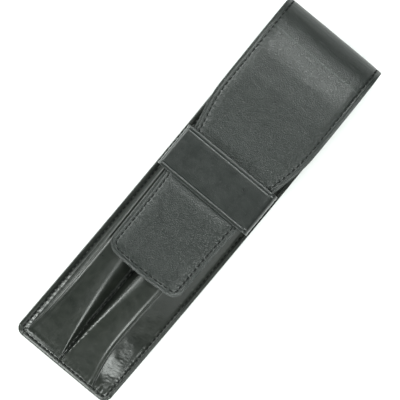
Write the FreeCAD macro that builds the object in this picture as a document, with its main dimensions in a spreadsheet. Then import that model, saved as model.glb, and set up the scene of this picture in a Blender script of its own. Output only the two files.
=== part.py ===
import FreeCAD, Part
import math
import os
import Sketcher
from FreeCAD import Placement, Rotation, Vector

# Two-pen leather case lying on its back, in millimetres.
# +X runs across the case, +Y towards the folded end, +Z up out of the front.
# The origin is the centre of the bounding box's underside.

SIZES = {
    "case_length": 165.0,
    "case_width": 45.4,
    "corner_radius": 3.5,
    "back_leather": 1.1,
    "back_board": 0.6,
    "back_depth": 2.2,
    "board_inset": 4.0,
    "board_radius": 1.5,
    "fold_radius": 9.2,
    "fold_inner_radius": 7.4,
    "lower_fold_leather": 1.1,
    "upper_fold_leather": 1.0,
    "hinge_gap": 0.15,
    "front_leather": 1.0,
    "channel_lining": 0.4,
    "channel_height": 11.4,
    "seam_margin": 2.4,
    "bottom_margin": 3.5,
    "mouth_y": 48.0,
    "flap_leather": 1.0,
    "flap_board": 0.5,
    "flap_lining": 0.5,
    "tongue_end_y": -35.2,
    "strap_low_y": 1.8,
    "strap_width": 18.7,
    "strap_top": 18.8,
    "strap_leather": 1.0,
    "strap_lining": 0.5,
    "seam_pitch": 2.1,
    "flap_seam_pitch": 2.3,
    "stitch_length": 1.5,
    "stitch_width": 0.45,
    "stitch_height": 0.3,
}

doc = FreeCAD.newDocument("pen_case")
sheet = doc.addObject("Spreadsheet::Sheet", "sizes")
for row, (alias, value) in enumerate(SIZES.items(), start=1):
    sheet.set("A%d" % row, alias)
    sheet.set("B%d" % row, str(value))
    sheet.setAlias("B%d" % row, alias)
doc.recompute()

HALF_WIDTH = SIZES["case_width"] / 2.0
HALF_LENGTH = SIZES["case_length"] / 2.0
HINGE_Y = HALF_LENGTH - SIZES["fold_radius"]
FRONT_Z = SIZES["back_depth"] + SIZES["front_leather"]
GAP_ANGLE = math.degrees(SIZES["hinge_gap"] / SIZES["fold_radius"])

parts = []


def keep(feature, label):
    """Marks a finished feature as one exported piece."""
    feature.Label = label
    feature.Placement = feature.Placement
    parts.append(feature)
    return feature


def solid_feature(label, shape):
    """Holds a shape that no sketch or primitive describes."""
    feature = doc.addObject("Part::Feature", label)
    feature.Shape = shape
    feature.Placement = Placement()
    return feature


# ---------------------------------------------------------------- flat plates

def origin_plane(body, role):
    """Finds one of the body's own base planes."""
    for feature in body.Origin.OriginFeatures:
        if feature.Role == role:
            return feature
    raise ValueError(role)


def attached_sketch(body, name, role, offset):
    """Adds a sketch to the body, lifted off one base plane by an expression."""
    sketch = body.newObject("Sketcher::SketchObject", name)
    sketch.AttachmentSupport = [(origin_plane(body, role), "")]
    sketch.MapMode = "FlatFace"
    sketch.setExpression(".AttachmentOffset.Base.z", offset)
    return sketch


def plate_sketch(body, name, offset, inset, radius, top):
    """Rectangle with two rounded corners at the closed end, inset from the case outline."""
    sketch = attached_sketch(body, name, "XY_Plane", offset)
    gap = SIZES[inset] if inset else 0.0
    size = SIZES[radius]
    side = HALF_WIDTH - gap
    low = -HALF_LENGTH + gap
    high = HINGE_Y - SIZES["hinge_gap"] - top * gap
    normal = Vector(0, 0, 1)
    bottom = sketch.addGeometry(Part.LineSegment(Vector(-side + size, low, 0), Vector(side - size, low, 0)))
    right_bend = sketch.addGeometry(Part.ArcOfCircle(
        Part.Circle(Vector(side - size, low + size, 0), normal, size), -math.pi / 2, 0))
    right = sketch.addGeometry(Part.LineSegment(Vector(side, low + size, 0), Vector(side, high, 0)))
    upper = sketch.addGeometry(Part.LineSegment(Vector(side, high, 0), Vector(-side, high, 0)))
    left = sketch.addGeometry(Part.LineSegment(Vector(-side, high, 0), Vector(-side, low + size, 0)))
    left_bend = sketch.addGeometry(Part.ArcOfCircle(
        Part.Circle(Vector(-side + size, low + size, 0), normal, size), math.pi, 1.5 * math.pi))
    sketch.addConstraint(Sketcher.Constraint("Tangent", bottom, 2, right_bend, 1))
    sketch.addConstraint(Sketcher.Constraint("Tangent", right_bend, 2, right, 1))
    sketch.addConstraint(Sketcher.Constraint("Coincident", right, 2, upper, 1))
    sketch.addConstraint(Sketcher.Constraint("Coincident", upper, 2, left, 1))
    sketch.addConstraint(Sketcher.Constraint("Tangent", left, 2, left_bend, 1))
    sketch.addConstraint(Sketcher.Constraint("Tangent", left_bend, 2, bottom, 1))
    sketch.addConstraint(Sketcher.Constraint("Horizontal", bottom))
    sketch.addConstraint(Sketcher.Constraint("Horizontal", upper))
    sketch.addConstraint(Sketcher.Constraint("Vertical", right))
    sketch.addConstraint(Sketcher.Constraint("Vertical", left))
    sketch.addConstraint(Sketcher.Constraint("Equal", right_bend, left_bend))
    step = "sizes.%s" % inset if inset else "0"
    bound = {
        "bend_radius": (Sketcher.Constraint("Radius", right_bend, size), "sizes.%s" % radius),
        "right_side": (Sketcher.Constraint("DistanceX", -1, 1, right, 1, side),
                       "sizes.case_width / 2 - %s" % step),
        "left_side": (Sketcher.Constraint("DistanceX", left, 1, -1, 1, side),
                      "sizes.case_width / 2 - %s" % step),
        "closed_end": (Sketcher.Constraint("DistanceY", bottom, 1, -1, 1, -low),
                       "sizes.case_length / 2 - %s" % step),
        "hinge_end": (Sketcher.Constraint("DistanceY", -1, 1, upper, 1, high),
                      "sizes.case_length / 2 - sizes.fold_radius - sizes.hinge_gap - %d * %s" % (top, step)),
    }
    for title, (constraint, expression) in bound.items():
        index = sketch.addConstraint(constraint)
        sketch.renameConstraint(index, title)
        sketch.setExpression(".Constraints.%s" % title, expression)
    return sketch


def padded_plate(label, offset, thickness, inset, radius, top):
    """One flat layer of the back."""
    body = doc.addObject("PartDesign::Body", label)
    sketch = plate_sketch(body, label + "_outline", offset, inset, radius, top)
    pad = body.newObject("PartDesign::Pad", label + "_pad")
    pad.Profile = sketch
    pad.setExpression("Length", thickness)
    return body


back_outer = padded_plate("back_outer_leather", "0", "sizes.back_leather", None, "corner_radius", 0)
keep(back_outer, "back_outer_leather")

back_board = padded_plate("back_stiffener", "sizes.back_leather", "sizes.back_board",
                          "board_inset", "board_radius", 1)
keep(back_board, "back_stiffener")

# The lining wraps over the stiffener and meets the outer leather around the rim.
back_lining = padded_plate("back_lining", "sizes.back_leather",
                           "sizes.back_depth - sizes.back_leather", None, "corner_radius", 0)
board_space = plate_sketch(back_lining, "board_space", "sizes.back_leather", "board_inset", "board_radius", 1)
board_pocket = back_lining.newObject("PartDesign::Pocket", "board_pocket")
board_pocket.Profile = board_space
board_pocket.Reversed = True
board_pocket.setExpression("Length", "sizes.back_board")
keep(back_lining, "back_lining")


# ------------------------------------------------------------ folded end

def fold_sector(name, radius, start_angle):
    """Quarter cylinder about the fold's centre line, shortened by the gap at each hinge."""
    sector = doc.addObject("Part::Cylinder", name)
    sector.setExpression("Radius", radius)
    sector.setExpression("Height", "sizes.case_width")
    sector.Angle = 90.0 - 2.0 * GAP_ANGLE
    along_case = Rotation(Vector(0, 1, 0), Vector(0, 0, 1), Vector(1, 0, 0), "XYZ")
    turn = Rotation(Vector(0, 0, 1), start_angle + GAP_ANGLE)
    sector.Placement = Placement(Vector(-HALF_WIDTH, HINGE_Y, SIZES["fold_radius"]), along_case.multiply(turn))
    return sector


def fold_layer(label, outer, inner, start_angle):
    """One curved layer of the fold: an outer sector less an inner one."""
    ring = doc.addObject("Part::Cut", label)
    ring.Base = fold_sector(label + "_whole", outer, start_angle)
    ring.Tool = fold_sector(label + "_hollow", inner, start_angle)
    return keep(ring, label)


fold_layer("fold_lower_leather", "sizes.fold_radius", "sizes.fold_radius - sizes.lower_fold_leather", -90.0)
fold_layer("fold_lower_lining", "sizes.fold_radius - sizes.lower_fold_leather", "sizes.fold_inner_radius", -90.0)
fold_layer("fold_upper_leather", "sizes.fold_radius", "sizes.fold_radius - sizes.upper_fold_leather", 0.0)
fold_layer("fold_upper_lining", "sizes.fold_radius - sizes.upper_fold_leather", "sizes.fold_inner_radius", 0.0)


# ------------------------------------------------------------ pleated front

CHANNEL_START = -HALF_LENGTH + SIZES["bottom_margin"]
RISE_LENGTH = 18.0
SPREAD_LENGTH = 45.0
STATIONS = [-HALF_LENGTH, CHANNEL_START, -75.5, -71.0, -65.0, -57.0, -47.0, -34.0, -14.0, SIZES["mouth_y"]]

# Each line of the front: where it runs at the closed end, where it runs at the
# mouth, and how much of the channel height it reaches.
FRONT_LINES = {
    "left_edge": (-HALF_WIDTH, -HALF_WIDTH, 0.0),
    "left_wall_foot": (-20.3, -20.3, 0.0),
    "left_pleat": (-18.9, -18.4, 0.982),
    "left_shoulder": (-5.6, -8.0, 1.0),
    "left_brow": (-4.2, -5.6, 0.877),
    "seam_left": (-3.1, -3.1, 0.0),
    "seam_right": (-1.9, -1.9, 0.0),
    "right_brow": (-0.8, 0.2, 0.877),
    "right_shoulder": (0.9, 2.6, 1.0),
    "right_pleat": (14.2, 11.3, 0.982),
    "right_wall_foot": (20.2, 20.2, 0.0),
    "right_edge": (HALF_WIDTH, HALF_WIDTH, 0.0),
}
LINE_NAMES = list(FRONT_LINES)


def front_section(y):
    """Outer surface of the pleated front across the case, as (x, z) points."""
    run = max(0.0, y - CHANNEL_START)
    rise = 1.0 - math.exp(-run / RISE_LENGTH)
    spread = min(1.0, run / SPREAD_LENGTH)
    points = []
    for flat_x, full_x, reach in FRONT_LINES.values():
        x = flat_x + (full_x - flat_x) * spread
        points.append((x, FRONT_Z + SIZES["channel_height"] * reach * rise))
    return points


def offset_inward(points, distance):
    """Shifts an open line of (x, z) points to its lower side, with mitred corners."""
    directions = []
    for (x0, z0), (x1, z1) in zip(points, points[1:]):
        length = math.hypot(x1 - x0, z1 - z0)
        directions.append(((x1 - x0) / length, (z1 - z0) / length))
    shifted = []
    for index, (x, z) in enumerate(points):
        before = directions[max(0, index - 1)]
        after = directions[min(len(directions) - 1, index)]
        middle_x = before[0] + after[0]
        middle_z = before[1] + after[1]
        size = math.hypot(middle_x, middle_z)
        normal_x = middle_z / size
        normal_z = -middle_x / size
        reach = distance / (normal_x * before[1] - normal_z * before[0])
        shifted.append((x + normal_x * reach, z + normal_z * reach))
    return shifted


def sheet_loft(first, last, near, far, stations):
    """Sheet between two depths below the front's surface, from one line to another."""
    start = LINE_NAMES.index(first)
    stop = LINE_NAMES.index(last) + 1
    rings = []
    for y in stations:
        surface = front_section(y)
        upper = offset_inward(surface, near)[start:stop]
        lower = offset_inward(surface, far)[start:stop]
        ring = [Vector(x, y, z) for x, z in upper + lower[::-1]]
        rings.append(Part.makePolygon(ring + ring[:1]))
    return Part.makeLoft(rings, True, True)


def rounded_prism(height):
    """Case outline with its rounded corners, standing on the table."""
    radius = SIZES["corner_radius"]
    block = Part.makeBox(2 * HALF_WIDTH, 2 * HALF_LENGTH, height, Vector(-HALF_WIDTH, -HALF_LENGTH, 0))
    corners = []
    for edge in block.Edges:
        ends = [vertex.Point for vertex in edge.Vertexes]
        upright = abs(ends[0].z - ends[1].z) > height / 2
        if upright and ends[0].y < 0:
            corners.append(edge)
    return block.makeFillet(radius, corners)


# A sheet whose section changes all along the case is a loft, which no pad gives.
front_shape = sheet_loft("left_edge", "right_edge", 0.0, SIZES["front_leather"], STATIONS)
front_shape = front_shape.common(rounded_prism(20.0))
keep(solid_feature("front_panel", front_shape), "front_panel")

lining_stations = [y for y in STATIONS if y > -72.0]
lining_depth = SIZES["front_leather"] + SIZES["channel_lining"]
above_back = Part.makeBox(60.0, 200.0, 20.0, Vector(-30.0, -100.0, SIZES["back_depth"]))
for label, first, last in (("left_channel_lining", "left_wall_foot", "seam_left"),
                           ("right_channel_lining", "seam_right", "right_wall_foot")):
    tube = sheet_loft(first, last, SIZES["front_leather"], lining_depth, lining_stations)
    keep(solid_feature(label, tube.common(above_back)), label)


# ------------------------------------------------------------ strap

def rounded_outline(points, radii):
    """Closed wire through (x, z) points in the plane y = 0, with arcs at chosen corners."""
    count = len(points)
    edges = []
    previous = None
    first = None
    for index in range(count):
        corner = Vector(points[index][0], 0, points[index][1])
        before = Vector(points[index - 1][0], 0, points[index - 1][1])
        after = Vector(points[(index + 1) % count][0], 0, points[(index + 1) % count][1])
        into = (corner - before).normalize()
        out = (after - corner).normalize()
        radius = radii[index]
        if radius > 0:
            half_turn = into.getAngle(out) / 2
            reach = radius * math.tan(half_turn)
            start = corner - into * reach
            stop = corner + out * reach
            inward = (out - into).normalize()
            middle = corner + inward * (radius / math.cos(half_turn) - radius)
        else:
            start = corner
            stop = corner
        if previous is not None:
            edges.append(Part.makeLine(previous, start))
        else:
            first = start
        if radius > 0:
            edges.append(Part.Arc(start, middle, stop).toShape())
        previous = stop
    edges.append(Part.makeLine(previous, first))
    return Part.Wire(edges)


def strap_layer(label, points, radii):
    """Band of constant section, as wide as the strap along the case."""
    profile = solid_feature(label + "_profile", Part.Face(rounded_outline(points, radii)))
    band = doc.addObject("Part::Extrusion", label)
    band.Base = profile
    band.DirMode = "Custom"
    band.Dir = Vector(0, 1, 0)
    band.Solid = True
    band.setExpression("LengthFwd", "sizes.strap_width")
    band.setExpression(".Placement.Base.y", "sizes.strap_low_y")
    return keep(band, label)


def mirrored(points):
    """Adds the right-hand half of a left-hand line of points."""
    return points + [(-x, z) for x, z in reversed(points)]


TOP = SIZES["strap_top"]
UNDER_LEATHER = TOP - SIZES["strap_leather"]
UNDER_LINING = UNDER_LEATHER - SIZES["strap_lining"]
FOOT_END = 22.55
LEG_TOP = 21.4
LEG_FOOT = 21.9
LINING_END_Z = 6.0
LINING_SPLAY = 0.4

# Outer band: a foot on each side margin, two legs and the bridge over the tongue.
outer_side = mirrored([(-FOOT_END, FRONT_Z + SIZES["strap_leather"]),
                       (-LEG_FOOT, FRONT_Z + SIZES["strap_leather"]),
                       (-LEG_TOP, TOP)])
inner_side = mirrored([(-FOOT_END, FRONT_Z),
                       (-LEG_FOOT + SIZES["strap_leather"], FRONT_Z),
                       (-LEG_TOP + SIZES["strap_leather"], UNDER_LEATHER)])
strap_layer("strap_outer", outer_side + inner_side[::-1],
            [0, 0.1, 2.4, 2.4, 0.1, 0, 0, 0.4, 1.4, 1.4, 0.4, 0])

# Lining band inside the legs and the bridge.
band_x = LEG_TOP - SIZES["strap_leather"]
outer_side = mirrored([(-band_x - LINING_SPLAY, LINING_END_Z), (-band_x, UNDER_LEATHER)])
band_x -= SIZES["strap_lining"]
inner_side = mirrored([(-band_x - LINING_SPLAY, LINING_END_Z), (-band_x, UNDER_LINING)])
strap_layer("strap_lining", outer_side + inner_side[::-1], [0, 1.4, 1.4, 0, 0, 0.9, 0.9, 0])


# ------------------------------------------------------------ flap

# Height of the flap's outer surface from the fold to the tongue's end.
FLAP_RIDGE = [
    (HINGE_Y - SIZES["hinge_gap"], 18.4),
    (60.0, 18.15),
    (46.0, 17.6),
    (32.0, 17.1),
    (22.0, 16.9),
    (0.0, 16.9),
    (-14.0, 16.75),
    (-26.0, 16.5),
    (-37.0, 16.2),
]
FLAP_DEPTH = SIZES["flap_leather"] + SIZES["flap_board"] + SIZES["flap_lining"]

# Right-hand edge of the flap, from the full width through the shoulder to the tongue.
SHOULDER = [(22.7, 44.0), (22.5, 37.0), (21.7, 31.0), (20.6, 26.0), (19.5, 21.0),
            (18.5, 12.0), (17.8, 2.0), (17.3, -10.0), (17.1, -22.0), (17.05, -29.5)]


def flap_height(y):
    """Height of the flap's outer surface at one place along the case."""
    for (y0, z0), (y1, z1) in zip(FLAP_RIDGE, FLAP_RIDGE[1:]):
        if y >= y1:
            return z0 + (z1 - z0) * (y - y0) / (y1 - y0)
    return FLAP_RIDGE[-1][1]


def flap_outline(inset):
    """Closed outline of the flap seen from above, shrunk by an inset."""
    top_y = HINGE_Y - SIZES["hinge_gap"]
    right = Part.BSplineCurve()
    right.interpolate(Points=[Vector(x, y, 0) for x, y in SHOULDER],
                      InitialTangent=Vector(0, -1, 0), FinalTangent=Vector(0, -1, 0))
    left = Part.BSplineCurve()
    left.interpolate(Points=[Vector(-x, y, 0) for x, y in reversed(SHOULDER)],
                     InitialTangent=Vector(0, 1, 0), FinalTangent=Vector(0, 1, 0))
    corner_x, corner_y = SHOULDER[-1]
    end_y = SIZES["tongue_end_y"]
    turn_x = 12.4
    turn_y = end_y + 0.55
    bend_x = corner_x - 1.25
    bend_y = turn_y + 1.25
    edges = [
        Part.makeLine(Vector(-HALF_WIDTH, top_y, 0), Vector(HALF_WIDTH, top_y, 0)),
        Part.makeLine(Vector(HALF_WIDTH, top_y, 0), Vector(SHOULDER[0][0], SHOULDER[0][1], 0)),
        right.toShape(),
        Part.Arc(Vector(corner_x, corner_y, 0), Vector(bend_x, bend_y, 0), Vector(turn_x, turn_y, 0)).toShape(),
        Part.Arc(Vector(turn_x, turn_y, 0), Vector(0, end_y, 0), Vector(-turn_x, turn_y, 0)).toShape(),
        Part.Arc(Vector(-turn_x, turn_y, 0), Vector(-bend_x, bend_y, 0), Vector(-corner_x, corner_y, 0)).toShape(),
        left.toShape(),
        Part.makeLine(Vector(-SHOULDER[0][0], SHOULDER[0][1], 0), Vector(-HALF_WIDTH, top_y, 0)),
    ]
    wire = Part.Wire(edges)
    if inset > 0:
        ring = wire.makeOffset2D(-inset).discretize(Distance=1.5)
        wire = Part.makePolygon(ring[:-1] + ring[:1])
    return wire


def flap_slab(name, near, far):
    """Band across the case between two depths below the flap's outer surface."""
    upper = [Vector(0, y, z - near) for y, z in FLAP_RIDGE]
    lower = [Vector(0, y, z - far) for y, z in FLAP_RIDGE]
    ring = upper + lower[::-1]
    profile = solid_feature(name + "_profile", Part.Face(Part.makePolygon(ring + ring[:1])))
    slab = doc.addObject("Part::Extrusion", name)
    slab.Base = profile
    slab.DirMode = "Custom"
    slab.Dir = Vector(1, 0, 0)
    slab.Symmetric = True
    slab.Solid = True
    slab.setExpression("LengthFwd", "sizes.case_width + 2")
    return slab


def flap_prism(name, inset):
    """The flap's outline raised through its whole height."""
    outline = solid_feature(name + "_outline", Part.Face(flap_outline(inset)))
    prism = doc.addObject("Part::Extrusion", name)
    prism.Base = outline
    prism.DirMode = "Custom"
    prism.Dir = Vector(0, 0, 1)
    prism.Solid = True
    prism.LengthFwd = 30.0
    return prism


def flap_layer(label, near, far, inset):
    """One layer of the flap, cut to the flap's outline."""
    layer = doc.addObject("Part::MultiCommon", label)
    layer.Shapes = [flap_slab(label + "_slab", near, far), flap_prism(label + "_prism", inset)]
    return layer


keep(flap_layer("flap_outer_leather", 0.0, SIZES["flap_leather"], 0.0), "flap_outer_leather")
board_low = SIZES["flap_leather"] + SIZES["flap_board"]
keep(flap_layer("flap_stiffener", SIZES["flap_leather"], board_low, SIZES["board_inset"]), "flap_stiffener")

# The lining covers the stiffener and meets the outer leather around the rim.
flap_lining = doc.addObject("Part::Cut", "flap_lining")
flap_lining.Base = flap_layer("flap_lining_whole", SIZES["flap_leather"], FLAP_DEPTH, 0.0)
flap_lining.Tool = flap_layer("flap_board_space", SIZES["flap_leather"], board_low, SIZES["board_inset"])
keep(flap_lining, "flap_lining")


# ------------------------------------------------------------ stitching

def stitch(centre, ahead):
    """One visible thread lying on a leather face."""
    length = SIZES["stitch_length"]
    width = SIZES["stitch_width"]
    height = SIZES["stitch_height"]
    across = Vector(0, 0, 1).cross(ahead).normalize()
    up = ahead.cross(across)
    thread = Part.makeBox(length, width, height, Vector(-length / 2, -width / 2, 0))
    thread.Placement = Placement(centre, Rotation(ahead, across, up, "XYZ"))
    return thread


def stitch_row(path, height, wanted_pitch):
    """Threads at an even pitch along a line of (x, y) points, lying at a given height."""
    lengths = [0.0]
    for (x0, y0), (x1, y1) in zip(path, path[1:]):
        lengths.append(lengths[-1] + math.hypot(x1 - x0, y1 - y0))
    count = max(1, round(lengths[-1] / wanted_pitch))
    pitch = lengths[-1] / count

    def place(distance):
        index = 1
        while lengths[index] < distance and index < len(lengths) - 1:
            index += 1
        share = (distance - lengths[index - 1]) / (lengths[index] - lengths[index - 1])
        x = path[index - 1][0] + (path[index][0] - path[index - 1][0]) * share
        y = path[index - 1][1] + (path[index][1] - path[index - 1][1]) * share
        return Vector(x, y, height(x, y))

    threads = []
    for number in range(count):
        start = place(number * pitch + 0.1 * pitch)
        stop = place(number * pitch + 0.9 * pitch)
        threads.append(stitch((start + stop) * 0.5, (stop - start).normalize()))
    return threads


def margin_height(x, y):
    """Top of the side and bottom margins: the front, or the back lining past its mouth."""
    return FRONT_Z if y < SIZES["mouth_y"] else SIZES["back_depth"]


SEAM_INSET = 1.9
seam_x = HALF_WIDTH - SEAM_INSET
seam_low = -HALF_LENGTH + SEAM_INSET
bend = SIZES["corner_radius"] - SEAM_INSET + 0.6
strap_high_y = SIZES["strap_low_y"] + SIZES["strap_width"]
round_end = [(-seam_x, SIZES["strap_low_y"] - 0.6)]
for step in range(7):
    angle = math.pi + step * math.pi / 12
    round_end.append((-seam_x + bend + bend * math.cos(angle), seam_low + bend + bend * math.sin(angle)))
round_end += [(-x, y) for x, y in reversed(round_end)]
threads = stitch_row(round_end, margin_height, SIZES["seam_pitch"])
for side in (-1, 1):
    beside_strap = [(side * seam_x, strap_high_y + 0.6), (side * seam_x, SIZES["mouth_y"] - 0.3)]
    past_mouth = [(side * seam_x, SIZES["mouth_y"] + 0.3), (side * seam_x, HINGE_Y - 1.0)]
    threads += stitch_row(beside_strap, margin_height, SIZES["seam_pitch"])
    threads += stitch_row(past_mouth, margin_height, SIZES["seam_pitch"])
keep(solid_feature("perimeter_stitching", Part.makeCompound(threads)), "perimeter_stitching")

centre_x = (FRONT_LINES["seam_left"][0] + FRONT_LINES["seam_right"][0]) / 2
centre_line = [(centre_x, CHANNEL_START + 0.5), (centre_x, SIZES["mouth_y"] - 0.5)]
centre_row = stitch_row(centre_line, margin_height, SIZES["seam_pitch"])
keep(solid_feature("centre_stitching", Part.makeCompound(centre_row)), "centre_stitching")


def foot_height(x, y):
    """Top of the strap's feet."""
    return FRONT_Z + SIZES["strap_leather"]


foot_x = 22.28
threads = []
for side in (-1, 1):
    foot_line = [(side * foot_x, SIZES["strap_low_y"] + 0.7), (side * foot_x, strap_high_y - 0.7)]
    threads += stitch_row(foot_line, foot_height, SIZES["seam_pitch"])
keep(solid_feature("strap_stitching", Part.makeCompound(threads)), "strap_stitching")


def ridge_height(x, y):
    """Outer surface of the flap."""
    return flap_height(y)


FLAP_SEAM_INSET = 2.3
seam = flap_outline(FLAP_SEAM_INSET).discretize(Distance=0.4)
rim = [(point.x, point.y) for point in seam if point.y < HINGE_Y - 3.0]
start = max(range(len(rim)), key=lambda index: math.dist(rim[index], rim[index - 1]))
rim = rim[start:] + rim[:start]
flap_row = stitch_row(rim, ridge_height, SIZES["flap_seam_pitch"])
keep(solid_feature("flap_stitching", Part.makeCompound(flap_row)), "flap_stitching")


# ------------------------------------------------------------ checks and export

doc.recompute()
for feature in doc.Objects:
    for state in feature.State:
        if state in ("Invalid", "Error"):
            raise RuntimeError("%s did not build" % feature.Name)
os.makedirs("parts", exist_ok=True)
for feature in parts:
    shape = feature.Shape
    if shape.isNull() or not shape.isValid():
        raise RuntimeError("%s has no valid shape" % feature.Label)
    shape.exportStep("parts/%s.step" % feature.Label)
    box = shape.BoundBox
    print("%-22s solids %3d  volume %9.2f  x %.2f..%.2f  y %.2f..%.2f  z %.2f..%.2f" % (
        feature.Label, len(shape.Solids), shape.Volume,
        box.XMin, box.XMax, box.YMin, box.YMax, box.ZMin, box.ZMax))
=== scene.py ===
import math

import bpy
import numpy as np
from mathutils import Matrix, Vector


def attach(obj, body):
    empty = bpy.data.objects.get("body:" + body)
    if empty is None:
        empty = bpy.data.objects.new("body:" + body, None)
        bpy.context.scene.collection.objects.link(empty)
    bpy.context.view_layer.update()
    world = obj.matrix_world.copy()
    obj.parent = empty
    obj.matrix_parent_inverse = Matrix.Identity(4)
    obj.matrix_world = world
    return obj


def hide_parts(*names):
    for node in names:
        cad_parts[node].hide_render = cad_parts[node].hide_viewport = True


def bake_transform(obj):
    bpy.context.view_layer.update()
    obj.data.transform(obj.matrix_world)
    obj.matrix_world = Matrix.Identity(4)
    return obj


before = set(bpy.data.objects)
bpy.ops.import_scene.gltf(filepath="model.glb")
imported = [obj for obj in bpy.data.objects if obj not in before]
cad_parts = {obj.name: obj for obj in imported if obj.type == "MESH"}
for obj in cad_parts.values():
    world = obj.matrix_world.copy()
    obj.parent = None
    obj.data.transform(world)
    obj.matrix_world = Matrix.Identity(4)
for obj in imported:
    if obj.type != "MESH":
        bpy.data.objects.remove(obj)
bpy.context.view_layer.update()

# All shapes are worked out in millimetres and turned into metres when a mesh is made.
MM = 0.001
HALF_W = 22.7
CORNER_R = 3.5
TONGUE_CORNERS = (5.2, 3.8)  # left and right
BOW = 0.75
# Places along the case, from the closed end to where the fold begins.
LOW_Y = -82.5
RISE_Y = -80.9
STRAP_Y = (1.8, 20.5)
MOUTH_Y = 48.0
FOLD_Y = 70.0
MARGIN_SEAM_TOP_Y = 71.5
# Heights of the floor, of the front's margin and of the channels' tops.
FLOOR_Z = -2.7
FRONT_Z = 3.2
FRONT_TOP = 14.5
LEATHER = 1.0
BACK_LEATHER = 1.1
# Distances of the seams from the edge, and of one stitch from the next.
SIDE_INSET = 1.9
LOW_INSET = 1.75
FLAP_INSET = 2.2
SEAM_PITCH = 2.1
FLAP_PITCH = 2.3
THREAD_WIDTH = 0.5
THREAD_HEIGHT = 0.34
THREAD_SHARE = 0.74  # of the pitch
# Distances between the points of the meshes and of the seams' lines.
ROW_STEP = 0.4
FRONT_STEP = 0.36
SEAM_STEP = 0.25
MARGIN_STEP = 0.2


# ---------------------------------------------------------------- small helpers

def smoothstep(t):
    """0 below 0, 1 above 1, and a smooth rise between them."""
    t = np.clip(t, 0.0, 1.0)
    return t * t * (3 - 2 * t)


def bell(x, width):
    """1 at 0, falling away smoothly on both sides."""
    return np.exp(-(x / width) ** 2)


def curve(knots, values, at):
    """Smooth line through the knots, held level past both ends."""
    k = np.asarray(knots, float)
    v = np.asarray(values, float)
    slope = np.diff(v) / np.diff(k)
    tangent = np.concatenate([slope[:1], (slope[1:] + slope[:-1]) / 2, slope[-1:]])
    tangent[1:-1][slope[1:] * slope[:-1] <= 0] = 0
    at = np.clip(at, k[0], k[-1])
    i = np.clip(np.searchsorted(k, at, side="right") - 1, 0, len(k) - 2)
    h = k[i + 1] - k[i]
    u = (at - k[i]) / h
    return ((1 + 2 * u) * (1 - u) ** 2 * v[i] + u * (1 - u) ** 2 * h * tangent[i]
            + u * u * (3 - 2 * u) * v[i + 1] + u * u * (u - 1) * h * tangent[i + 1])


def waves(x, y, size, seed):
    """Smooth random field of about -1 to 1, with features of roughly the given size."""
    rng = np.random.default_rng(seed)
    total = 0.0
    for _ in range(10):
        angle = rng.uniform(0, math.pi)
        rate = rng.uniform(0.6, 1.5) * 2 * math.pi / size
        shift = rng.uniform(0, 2 * math.pi)
        total = total + np.sin(rate * (x * math.cos(angle) + y * math.sin(angle)) + shift)
    return total / 4.5


def lengths_of(path):
    """Distance of each point of a line from its start."""
    return np.concatenate([[0.0], np.cumsum(np.linalg.norm(np.diff(path, axis=0), axis=1))])


def points_along(path, run, at):
    """Points of a line at given distances, where run is the distance of each of its own."""
    return np.stack([np.interp(at, run, path[:, c]) for c in range(path.shape[1])], axis=1)


def unit_rows(vectors):
    return vectors / np.linalg.norm(vectors, axis=1)[:, None]


def resample(path, step):
    """The same line with points at an even step."""
    run = lengths_of(path)
    count = max(2, int(round(run[-1] / step)) + 1)
    at = np.linspace(0, run[-1], count)
    return points_along(path, run, at)


def nearest(path, points):
    """Distance of each point from a line, and how far along the line the nearest place is."""
    fine = resample(path, 0.12)
    run = lengths_of(fine)
    flat = points.reshape(-1, 2)
    gap = np.zeros(len(flat))
    along = np.zeros(len(flat))
    batch = 3000
    for low in range(0, len(flat), batch):
        part = flat[low:low + batch]
        square = ((part[:, None, :] - fine[None, :, :]) ** 2).sum(axis=2)
        best = square.argmin(axis=1)
        gap[low:low + batch] = np.sqrt(square[np.arange(len(part)), best])
        along[low:low + batch] = run[best]
    return gap.reshape(points.shape[:-1]), along.reshape(points.shape[:-1])


def inset_line(path, distance):
    """A line moved to its left-hand side."""
    ahead = unit_rows(np.gradient(path, axis=0))
    return path + distance * np.stack([-ahead[:, 1], ahead[:, 0]], axis=1)


def bowed(points):
    """The whole case is bent slightly sideways along its length."""
    out = np.array(points, float)
    out[..., 0] += BOW * (1 - (out[..., 1] / LOW_Y) ** 2)
    return out


def grid_normals(grid):
    """Unit normal at each point of a grid of rows and columns."""
    along = np.gradient(grid, axis=0)
    across = np.gradient(grid, axis=1)
    normal = np.cross(across, along)
    size = np.linalg.norm(normal, axis=-1, keepdims=True)
    return normal / np.maximum(size, 1e-9)


def grid_faces(rows, cols, first=0, flip=False):
    """Four-sided faces of a grid whose points are numbered from first, row by row."""
    a = first + (np.arange(rows - 1)[:, None] * cols + np.arange(cols - 1)[None, :]).reshape(-1)
    quad = np.stack([a, a + 1, a + cols + 1, a + cols], axis=1)
    return quad[:, ::-1] if flip else quad


def mesh_object(name, verts, faces, material):
    """New smooth piece from points in millimetres."""
    mesh = bpy.data.meshes.new(name)
    mesh.from_pydata((bowed(verts) * MM).tolist(), [], [list(map(int, f)) for f in faces])
    mesh.update()
    mesh.polygons.foreach_set("use_smooth", [True] * len(mesh.polygons))
    mesh.materials.append(material)
    obj = bpy.data.objects.new(name, mesh)
    bpy.context.scene.collection.objects.link(obj)
    return obj


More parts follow.
